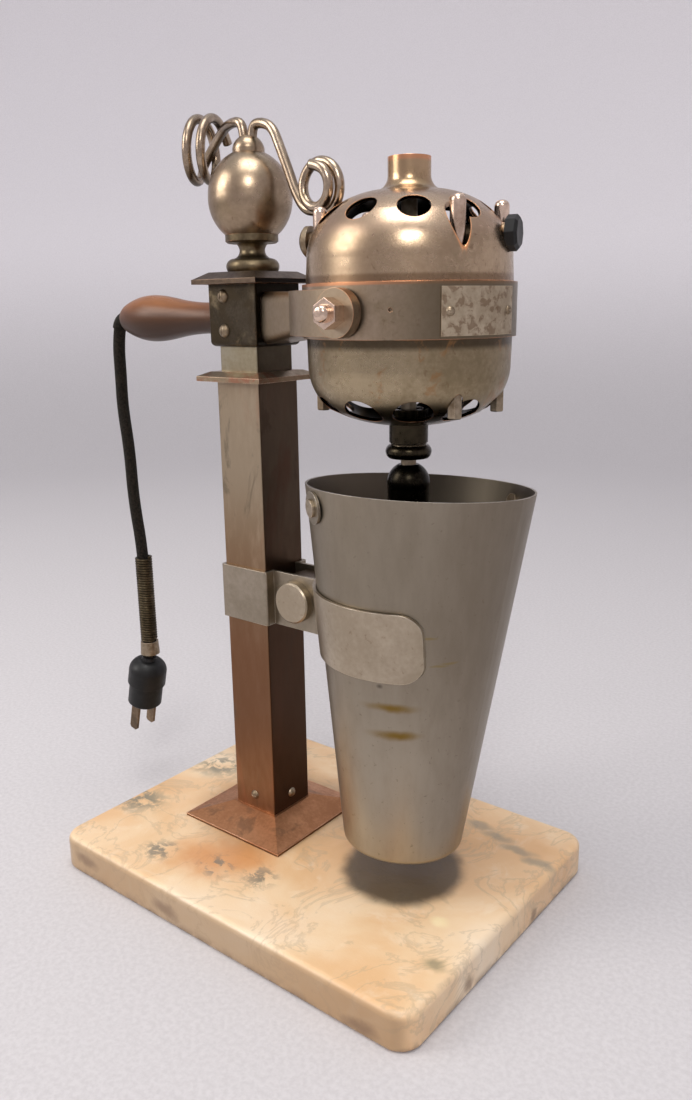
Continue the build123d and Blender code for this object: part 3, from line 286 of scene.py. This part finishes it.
# Each metal: light tone, dark tone, then its roughness where light and where dark.
# Each patch: where it is, in millimetres, and its colour.
M = {
    "column": metal(
        "column", (0.40, 0.30, 0.205), (0.245, 0.165, 0.10), (0.3, 0.48), worn=(0.7, 0.42, 0.26),
        wear=0.8 * MM, scale=22.0, streak=(1, 1, 0.3), patches=[
            (part(between(20, 150, 45), 0.85), (0.17, 0.075, 0.036)),
            (part(between(190, 262, 25), 0.5), (0.38, 0.33, 0.25)),
            (part(blotch(26.0, 0.5, 0.62, (1, 1, 0.25)), 0.7), (0.30, 0.13, 0.075)),
            (part(blotch(60.0, 0.57, 0.66, (1, 1, 0.4)), 0.6), (0.12, 0.10, 0.07)),
            (part(SHADED_SIDE, 0.85), (0.045, 0.024, 0.014))]),
    "flange": metal(
        "flange", (0.57, 0.28, 0.14), (0.38, 0.175, 0.085), (0.34, 0.55),
        worn=(0.85, 0.55, 0.38), wear=0.9 * MM, scale=40.0, patches=[
            (part(blotch(70.0, 0.55, 0.66), 0.6), (0.22, 0.12, 0.07)),
            (part(SHADED_SIDE, 0.5), (0.18, 0.09, 0.05)),
            (between(17, 19.4, 0.5), (0.12, 0.07, 0.04))]),
    "collar": nickel(
        "collar", (0.39, 0.31, 0.215), (0.25, 0.19, 0.125), worn=(0.85, 0.6, 0.45), patches=[
            (part(blotch(80.0, 0.48, 0.6), 0.8), (0.30, 0.13, 0.08)),
            (part(SHADED_SIDE, 0.6), BROWN)]),
    "top_plate": nickel(
        "top_plate", (0.16, 0.12, 0.085), (0.08, 0.055, 0.04), worn=(0.42, 0.28, 0.20),
        patches=[(part(SHADED_SIDE, 0.95), (0.006, 0.004, 0.003))]),
    "post": nickel(
        "post", (0.36, 0.32, 0.24), (0.24, 0.20, 0.13), patches=[(part(SHADED_SIDE, 0.9), SHADE_DARK)]),
    "block": nickel(
        "block", (0.075, 0.06, 0.043), (0.034, 0.026, 0.017), scale=60.0, patches=[
            (part(blotch(70.0, 0.46, 0.58), 0.8), (0.045, 0.033, 0.02)),
            (part(SHADED_SIDE, 0.9), (0.008, 0.006, 0.0035))]),
    "finial": nickel("finial", (0.42, 0.32, 0.225), (0.29, 0.215, 0.145), rough=(0.22, 0.38)),
    "pedestal": nickel("pedestal", (0.21, 0.165, 0.10), (0.10, 0.075, 0.045)),
    "wire": nickel(
        "wire", (0.50, 0.40, 0.30), (0.24, 0.18, 0.13), rough=(0.2, 0.34), worn=None,
        # painted shade: darker on the wire's undersides
        patches=[(part(SHADED_UNDERSIDE, 0.85), SHADE_DARK)]),
    "upper": nickel(
        "upper", (0.49, 0.37, 0.25), (0.34, 0.245, 0.16), rough=(0.2, 0.36),
        worn=(0.85, 0.42, 0.2), wear=1.2 * MM, patches=[
            (part(between(336.5, 352, 1.0), 0.6), (0.44, 0.29, 0.16)),
            (between(346.5, 352, 0.8), COPPER),
            (part(between(317, 333, 3), 0.25), PINKISH),
            (part(between(297, 301.5, 0.8), 0.7), BROWN),
            # painted shade: black on the shell's inner faces
            (SHADED_INNER_SKIN, SHADE_BLACK)]),
    "band": nickel(
        "band", (0.49, 0.38, 0.28), (0.34, 0.26, 0.18), rough=(0.26, 0.42), patches=[
            (between(297.4, 299, 0.4), COPPER),
            # painted shade: darker on the faces that look towards +X
            (part(facing(0, 0.1, 0.8), 0.85), (0.12, 0.095, 0.06))]),
    "lower": nickel(
        "lower", (0.38, 0.305, 0.20), (0.24, 0.185, 0.11), rough=(0.24, 0.4), patches=[
            # painted shadow: a dark strip below the band's lower edge
            (part(between(273, 278, 1.5), 0.85), SHADE_DARK),
            # painted shade: darker on the faces that look downwards
            (part(SHADED_UNDERSIDE, 0.85), (0.08, 0.06, 0.035)),
            (part(blotch(90.0, 0.56, 0.66), 0.6), RUST),
            # painted shade: black on the shell's inner faces
            (SHADED_INNER_SKIN, SHADE_BLACK)]),
    "plate": nickel(
        "plate", (0.54, 0.45, 0.33), (0.36, 0.29, 0.20), rough=(0.34, 0.5), worn=BEIGE,
        patches=[(part(blotch(260.0, 0.5, 0.6), 0.6), BROWN)]),
    "yoke": nickel(
        "yoke", (0.30, 0.235, 0.17), (0.17, 0.125, 0.085), patches=[
            # painted highlight: the yoke's front faces lightened
            (part(PAINTED_FRONT_SIDE, 0.25), BEIGE),
            (part(facing(2, 0.3, 0.8), 0.5), RUST)]),
    "cup": metal(
        "cup", (0.36, 0.315, 0.25), (0.275, 0.23, 0.175), (0.36, 0.5), worn=(0.6, 0.55, 0.48),
        scale=14.0, streak=(1, 1, 0.3), rounding=0.2 * MM, patches=[
            (part(blotch(500.0, 0.62, 0.7), 0.5), (0.14, 0.10, 0.06)),
            # painted shade: the cup darker towards its rim, under the motor
            (part(between(120, 230, 45), 0.55), (0.19, 0.16, 0.12)),
            # painted shade: darker inside the cup
            (SHADED_CUP_INSIDE, (0.125, 0.105, 0.08)),
            # painted shade: darker on the faces that look towards +X
            (part(facing(0, 0.55, 0.95), 0.3), (0.20, 0.16, 0.12)),
            (marks((18, 10, 3.4), (105, -35, 122), (107, -34, 109), warp=3),
             (0.20, 0.125, 0.03)),
            (marks((6, 6, 0.9), (122, -31, 155), (126, -28, 142), (129, -24, 143), warp=1.5,
                   share=0.8), (0.24, 0.18, 0.08)),
            (marks((5, 5, 5), (116, -46, 209), (119, -44, 204), warp=5, share=0.8), RUST),
            (marks((2.2, 2.2, 1.6), (88, -39, 130), (103, -39, 132)), (0.12, 0.10, 0.08))]),
    "holder": metal(
        "holder", (0.45, 0.38, 0.29), (0.35, 0.29, 0.215), (0.3, 0.45), worn=(0.75, 0.68, 0.58),
        # painted shade: darker on the faces that look towards +X
        patches=[(part(facing(0, 0.4, 0.9), 0.5), (0.30, 0.25, 0.17)),
                 (part(blotch(400.0, 0.6, 0.7), 0.4), BROWN)]),
    "strap": metal("strap", (0.34, 0.29, 0.23), (0.26, 0.22, 0.165), (0.3, 0.45),
                   worn=(0.6, 0.54, 0.46)),
    "bracket": metal("bracket", (0.20, 0.15, 0.10), (0.10, 0.07, 0.045), (0.35, 0.5)),
    "steel": metal("steel", (0.42, 0.35, 0.26), (0.18, 0.13, 0.08), (0.3, 0.5),
                   worn=(0.6, 0.48, 0.36)),
    "coil": metal("coil", (0.13, 0.10, 0.06), (0.04, 0.03, 0.018), (0.3, 0.5)),
    "black_steel": metal("black_steel", (0.016, 0.013, 0.009), (0.007, 0.006, 0.004), (0.22, 0.4)),
    "brass": metal("brass", (0.30, 0.21, 0.13), (0.13, 0.09, 0.06), (0.3, 0.5)),
    "nose": metal("nose", (0.05, 0.04, 0.025), (0.015, 0.012, 0.008), (0.2, 0.36),
                  worn=(0.40, 0.32, 0.22)),
    "stud": metal("stud", (0.80, 0.62, 0.50), (0.42, 0.30, 0.22), (0.18, 0.3),
                  worn=(0.9, 0.7, 0.58)),
    "core": metal("core", (0.03, 0.025, 0.02), (0.015, 0.012, 0.01), (0.4, 0.6)),
    "winding": metal("winding", (0.10, 0.04, 0.02), (0.04, 0.018, 0.01), (0.35, 0.5)),
    "rubber": dielectric("hard_rubber", (0.009, 0.0088, 0.009), (0.004, 0.004, 0.004),
                         (0.35, 0.6), 90.0, Specular_IOR_Level=0.3),
    "cloth": dielectric("cord_cloth", (0.017, 0.012, 0.007), (0.004, 0.003, 0.002),
                        (0.8, 0.95), 900.0, Sheen_Weight=0.04, Specular_IOR_Level=0.2),
    "wood": dielectric("handle_wood", (0.24, 0.095, 0.034), (0.115, 0.042, 0.016),
                       (0.25, 0.42), 60.0, streak=(0.12, 1, 1), pits=0.1, Specular_IOR_Level=0.3,
                       # painted shade: darker on the handle's sides and underside
                       patches=[(part(facing(2, 0.75, -0.35), 0.88), (0.03, 0.014, 0.007))]),
    "fibre": dielectric("fibre", (0.2, 0.08, 0.04), (0.1, 0.04, 0.02), (0.6, 0.8), 80.0),
    "carbon": dielectric("carbon", (0.03, 0.03, 0.03), (0.015, 0.015, 0.015), (0.5, 0.7), 200.0),
    "cork": dielectric("cork", (0.40, 0.26, 0.14), (0.2, 0.12, 0.06), (0.8, 0.95), 400.0),
}


def marble():
    """Cream stone with orange clouds, grey-green veins and the cup's old ring stain, darkened by
    painted shadow.
    """
    g = Graph("marble", Specular_IOR_Level=0.5, Coat_Weight=0.15, Coat_Roughness=0.2)
    broad = g.noise(9.0, 5.0, 0.55, 0.6)
    fine = g.noise(60.0, 7.0, 0.65, 0.5)
    colour = g.ramp(broad, (0.32, (0.60, 0.34, 0.15)), (0.45, (0.70, 0.45, 0.24)),
                    (0.56, (0.76, 0.56, 0.35)), (0.70, (0.80, 0.66, 0.49)))
    colour = g.mix(g.step(fine, 0.5, 0.75, 0.0, 0.45), colour, (0.82, 0.69, 0.52))
    veins = g.noise(26.0, 8.0, 0.6, 1.4)
    ridge = g.math("ABSOLUTE", g.math("SUBTRACT", veins, 0.5))
    colour = g.mix(g.step(ridge, 0.0, 0.03, 0.35, 0.0), colour, (0.38, 0.30, 0.20))
    top, front, end = SLAB_TOP, SLAB_FRONT, SLAB_END
    layers = [
        (marks((30, 24, 30), (17, -44, top), (5, -56, 12), warp=12, share=0.75),
         (0.54, 0.21, 0.05)),
        (marks((22, 14, 20), (131, 53, top), (70, -70, top), warp=10, share=0.12),
         (0.66, 0.32, 0.12)),
        (part(both(marks((24, 20, 14), (-68, -38, top), (-60, 18, top), warp=14),
                   blotch(120.0, 0.42, 0.55)), 0.85), (0.17, 0.17, 0.13)),
        (part(both(marks((14, 12, 12), (-20, -66, top), (14, -57, top), (38, -52, top),
                         (-78, -47, 14), warp=8), blotch(150.0, 0.46, 0.56)), 0.8),
         (0.16, 0.15, 0.12)),
        (marks((15, 5, 10), (101, 54, top), (114, 50, top), (128, 45, top), (142, 41, top),
               warp=9, share=0.6), (0.20, 0.20, 0.16)),
        (marks((8, 6, 6), (141, -52, top), warp=8, share=0.7), (0.22, 0.20, 0.12)),
        (marks((7, 5, 6), (127, -27, top), warp=4, share=0.6), (0.86, 0.74, 0.44)),
        # painted shade: the slab's front side darkened
        (part(PAINTED_FRONT_SIDE, 0.75), (0.34, 0.22, 0.12)),
        (marks((13, 5, 5), (-53, front, 9), (8, front, 7), (127, front, 4), (end, 20, 5),
               (end, -40, 6), warp=8, share=0.7), (0.19, 0.11, 0.06)),
    ]
    for mask, tint in layers:
        colour = g.mix(mask(g), colour, tint)
    # The cup's ring: a real stain, made darker with painted shadow under the cup.
    ring_stain_and_shadow = g.spot((0.090, -0.003, 0.0185), (0.034, 0.034, 0.01), 0.25, 0.006, 90.0)
    colour = g.mix(g.math("MULTIPLY", ring_stain_and_shadow, 0.88), colour, (0.055, 0.038, 0.018))
    foot = g.math("MULTIPLY", g.spot((0, 0, 0.0185), (0.052, 0.052, 0.01), 0.4, 0.004), 0.5)
    colour = g.mix(foot, colour, (0.30, 0.18, 0.09))
    low = g.math("MULTIPLY", g.step(g.split()[2], 0.0, 0.006, 0.75, 0.0), g.step(fine, 0.4, 0.6))
    colour = g.mix(low, colour, (0.20, 0.12, 0.07))
    g.set(Base_Color=colour, Roughness=g.step(fine, 0.3, 0.7, 0.3, 0.5))
    height = g.math("ADD", g.noise(700.0, 5.0, 0.7), g.math("MULTIPLY", fine, 2.0))
    return g.bump(height, 0.22, 0.0004, 0.0008).material


M["marble"] = marble()

DRESS = {
    "marble": ["marble_slab"], "cork": ["recess_plug"], "flange": ["base_flange"],
    "column": ["column_tube"], "collar": ["column_collar"], "top_plate": ["top_plate"],
    "post": ["inner_post"], "block": ["head_block"], "finial": ["finial_ball", "finial_cap"],
    "pedestal": ["finial_base"], "wire": ["wire_guide_left", "wire_guide_right"],
    "yoke": ["motor_yoke"], "band": ["motor_band"], "upper": ["upper_shell"],
    "lower": ["lower_shell"], "plate": ["nameplate"], "nose": ["nose_bushing"],
    "steel": ["base_bolt", "column_foot_screws", "finial_stud", "handle_core", "spring_ferrule",
              "through_bolt_nuts", "nameplate_screws", "brush_cap_metal", "armature_shaft",
              "cooling_fan", "agitator_rod", "agitator_disc", "band_rivets", "clamp_nut",
              "strain_spring", "head_block_screws", "cup_ear_rivets"],
    "stud": ["yoke_studs", "yoke_nuts", "through_bolts"], "black_steel": ["spindle_coupling"],
    "wood": ["wooden_handle"], "cloth": ["cord_sleeve", "cord"],
    "rubber": ["plug_body", "brush_cap_black"],
    "brass": ["plug_prongs", "brush_tubes", "shaft_bearings", "commutator"],
    "core": ["field_core", "armature_core"], "winding": ["field_coils"], "carbon": ["brushes"],
    "fibre": ["post_guide_shoe"], "cup": ["cup_body", "cup_ear_plates"],
    "strap": ["clamp_strap"], "holder": ["holder_band", "clamp_knob"],
    "bracket": ["holder_bracket"],
}
for finish, names in DRESS.items():
    for name in names:
        nodes[name].data.materials.clear()
        nodes[name].data.materials.append(M[finish])


# ------------------------------------------------------------------ meshes
def piece(name, vertices, faces, finish, body=None):
    """A smooth mesh in a finish, riding on the body if there is one."""
    mesh = bpy.data.meshes.new(name)
    mesh.from_pydata([tuple(v) for v in vertices], [], faces)
    mesh.validate()
    made = bpy.data.objects.new(name, mesh)
    bpy.context.scene.collection.objects.link(made)
    mesh.materials.append(M[finish])
    mesh.shade_smooth()
    if body:
        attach(made, body)
    return made


def spline_points(route, resolution):
    """Points along the smooth curve that the route's points steer."""
    curve = bpy.data.curves.new("route", "CURVE")
    curve.dimensions = "3D"
    line = curve.splines.new("NURBS")
    line.points.add(len(route) - 1)
    for point, place in zip(line.points, route):
        point.co = (*(value * MM for value in place), 1.0)
    line.order_u = 3
    line.use_endpoint_u = True
    line.resolution_u = resolution
    carrier = bpy.data.objects.new("route", curve)
    mesh = bpy.data.meshes.new_from_object(carrier)
    points = [v.co.copy() for v in mesh.vertices]
    bpy.data.objects.remove(carrier)
    bpy.data.curves.remove(curve)
    bpy.data.meshes.remove(mesh)
    return points


def even(points, step):
    """The same line with its points a step apart."""
    runs = [0.0]
    for a, b in zip(points, points[1:]):
        runs.append(runs[-1] + (b - a).length)
    count = max(2, round(runs[-1] / step))
    result, at = [], 0
    for index in range(count + 1):
        goal = runs[-1] * index / count
        while at < len(points) - 2 and runs[at + 1] < goal:
            at += 1
        span = runs[at + 1] - runs[at]
        result.append(points[at].lerp(points[at + 1], (goal - runs[at]) / span if span else 0.0))
    return result


def tube(name, points, radius, sides, finish, body, shape=None):
    """Closed tube along the points. shape(run, angle) adds to the radius."""
    rings, vertices, faces = len(points), [], []
    along = [(points[min(i + 1, rings - 1)] - points[max(i - 1, 0)]).normalized()
             for i in range(rings)]
    across = along[0].orthogonal().normalized()
    run = 0.0
    for index, (place, way) in enumerate(zip(points, along)):
        if index:
            across = (across - way * across.dot(way)).normalized()
            run += (place - points[index - 1]).length
        other = way.cross(across)
        for side in range(sides):
            angle = 2 * math.pi * side / sides
            reach = radius + (shape(run, angle) if shape else 0.0)
            vertices.append(place + (across * math.cos(angle) + other * math.sin(angle)) * reach)
    for index in range(rings - 1):
        for side in range(sides):
            after = (side + 1) % sides
            low, high = index * sides, (index + 1) * sides
            faces.append((low + side, low + after, high + after, high + side))
    faces.append(tuple(reversed(range(sides))))
    faces.append(tuple(range((rings - 1) * sides, rings * sides)))
    return piece(name, vertices, faces, finish, body)


# ------------------------------------------------------------------ cord
# The same points as the CAD's cord has, in millimetres.
CORD_ROUTE = [(-103.46, 0, 279.61), (-105.79, 0, 270.92), (-106.2, 0.4, 254.0),
              (-107.0, 0.6, 236.0), (-103.4, 0.4, 211.0), (-102.2, -0.3, 183.0),
              (-97.6, 0, 152.0), (-97.6, 0, 92.0), (-98.88, 0, 86.65)]
CORD_RADIUS = 3.3 * MM
STRANDS = 12
STRAND_DEPTH = 0.22 * MM


def braid(run, angle):
    """Crossed strands: each family stands proud where it passes over the other."""
    lay = STRANDS / CORD_RADIUS
    one = abs(math.cos((STRANDS * angle + lay * run) / 2))
    two = abs(math.cos((STRANDS * angle - lay * run) / 2))
    return (max(one, two) - 1.0) * STRAND_DEPTH


cord_line = even(spline_points(CORD_ROUTE, 24), 0.3 * MM)
cord = tube("cord_braid", cord_line, CORD_RADIUS, STRANDS * 6, "cloth", "head", braid)
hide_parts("cord")


SPRING_X, SPRING_TOP, SPRING_BOTTOM = -97.6 * MM, 149.2 * MM, 97.8 * MM
SPRING_RADIUS, SPRING_WIRE = 4.3 * MM, 0.7 * MM
SPRING_TURNS, TURN_STEPS = 34, 20


def helix():
    """Points of the strain spring, from its top down."""
    points = []
    for index in range(SPRING_TURNS * TURN_STEPS + 1):
        angle = math.radians(360 / TURN_STEPS * index)
        height = SPRING_TOP + (SPRING_BOTTOM - SPRING_TOP) * index / (SPRING_TURNS * TURN_STEPS)
        points.append(Vector((SPRING_X + SPRING_RADIUS * math.cos(angle),
                              SPRING_RADIUS * math.sin(angle), height)))
    return points


spring = tube("strain_spring_coil", helix(), SPRING_WIRE, 10, "coil", "head")
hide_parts("strain_spring")


# ------------------------------------------------------------------ wire guides
WIRE_RADIUS = 2.25 * MM
LOOP_STEPS = 10


def turns(centre, azimuth, radius, pitch, shrink, start, count):
    """Points of round turns that step towards the azimuth, in millimetres."""
    turned = math.radians(azimuth)
    axis = Vector((math.cos(turned), math.sin(turned), 0))
    across = Vector((math.sin(turned), -math.cos(turned), 0))
    points = []
    for index in range(count + 1):
        turn = math.radians(start + 360 * index / LOOP_STEPS)
        reach = radius - shrink * index / LOOP_STEPS
        spot = Vector(centre) + axis * (pitch * index / LOOP_STEPS)
        spot += across * (reach * math.cos(turn)) + Vector((0, 0, reach * math.sin(turn)))
        points.append(tuple(spot))
    return points


left_route = [(-2.6, 0, 364.0), (-2.6, 0, 369.0), (-5.0, 0, 373.4), (-12.3, 1.5, 373.6),
              (-24.0, 8.0, 373.0)]
left_route += turns((-36.6, -1.3, 363.7), 24, 14.6, 7.0, 0.0, 198, 19)
right_route = [(2.6, 0, 364.0), (2.6, 0, 370.5), (8.8, -0.5, 371.4), (16.6, -1.2, 368.4),
               (22.0, -1.7, 357.6), (26.6, -2.1, 348.3), (30.7, -2.5, 339.1), (36.2, -3.0, 331.6)]
right_route += turns((48.9, -4.1, 340.3), 85, 11.5, -4.8, 2.0, -120, 16)
for side, route in (("left", left_route), ("right", right_route)):
    wire = tube(f"wire_{side}", even(spline_points(route, 12), 0.6 * MM), WIRE_RADIUS, 28, "wire",
                "head")
    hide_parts(f"wire_guide_{side}")


# ------------------------------------------------------------------ floor, backdrop and lights
FLOOR_RADIUS, BEND_RADIUS, WALL_TOP = 1.3, 1.2, 3.0
BEND_STEPS = 24


def stage():
    """A round pale floor that bends up into a wall, dimmer at the floor."""
    profile = [(0.0, 0.0), (FLOOR_RADIUS, 0.0)]
    for index in range(1, BEND_STEPS + 1):
        turn = math.radians(90 * index / BEND_STEPS)
        profile.append((FLOOR_RADIUS + BEND_RADIUS * math.sin(turn),
                        BEND_RADIUS * (1 - math.cos(turn))))
    profile.append((FLOOR_RADIUS + BEND_RADIUS, WALL_TOP))
    sides, vertices, faces = 96, [(0, 0, 0)], []
    for radius, height in profile[1:]:
        for side in range(sides):
            angle = 2 * math.pi * side / sides
            vertices.append((radius * math.cos(angle), radius * math.sin(angle), height))
    for side in range(sides):
        after = (side + 1) % sides
        faces.append((0, 1 + side, 1 + after))
        for ring_stain_and_shadow in range(len(profile) - 2):
            low, high = 1 + ring_stain_and_shadow * sides, 1 + (ring_stain_and_shadow + 1) * sides
            faces.append((low + side, high + side, high + after, low + after))
    g = Graph("backdrop", Roughness=0.9)
    weave = g.noise(420.0, 4.0, 0.6)
    wall = g.mix(g.step(weave, 0.3, 0.7), (0.80, 0.77, 0.79), (0.87, 0.84, 0.86))
    ground = g.mix(g.step(weave, 0.3, 0.7), (0.50, 0.48, 0.49), (0.56, 0.54, 0.55))
    g.set(Base_Color=g.mix(g.step(g.split()[2], 0.0, 0.5), ground, wall))
    M["backdrop"] = g.bump(weave, 0.25, 0.0006).material
    piece("floor", vertices, faces, "backdrop")


stage()


def light(name, place, aim, size, power, colour):
    """A soft rectangle at the place, turned to the aim."""
    data = bpy.data.lights.new(name, "AREA")
    data.shape = "RECTANGLE"
    data.size, data.size_y = size
    data.energy = power
    data.color = colour
    made = bpy.data.objects.new(name, data)
    bpy.context.scene.collection.objects.link(made)
    made.location = place
    made.rotation_mode = "QUATERNION"
    made.rotation_quaternion = (Vector(aim) - Vector(place)).to_track_quat("-Z", "Y")


light("key", (-0.9, -1.0, 0.95), (0.03, 0, 0.2), (0.7, 0.9), 12, (1.0, 0.97, 0.92))
light("top", (0.15, -0.2, 1.5), (0.03, 0, 0.1), (0.7, 0.7), 9, (1.0, 0.98, 0.95))
light("front", (0.85, -1.05, 1.2), (0.05, 0, 0.25), (0.45, 0.45), 8, (1.0, 0.98, 0.95))

bpy.context.scene.view_settings.view_transform = "Standard"
world = bpy.data.worlds.new("world")
bpy.context.scene.world = world
world.use_nodes = True
sky = world.node_tree.nodes["Background"].inputs
sky["Color"].default_value = (0.75, 0.76, 0.80, 1)
sky["Strength"].default_value = 0.95
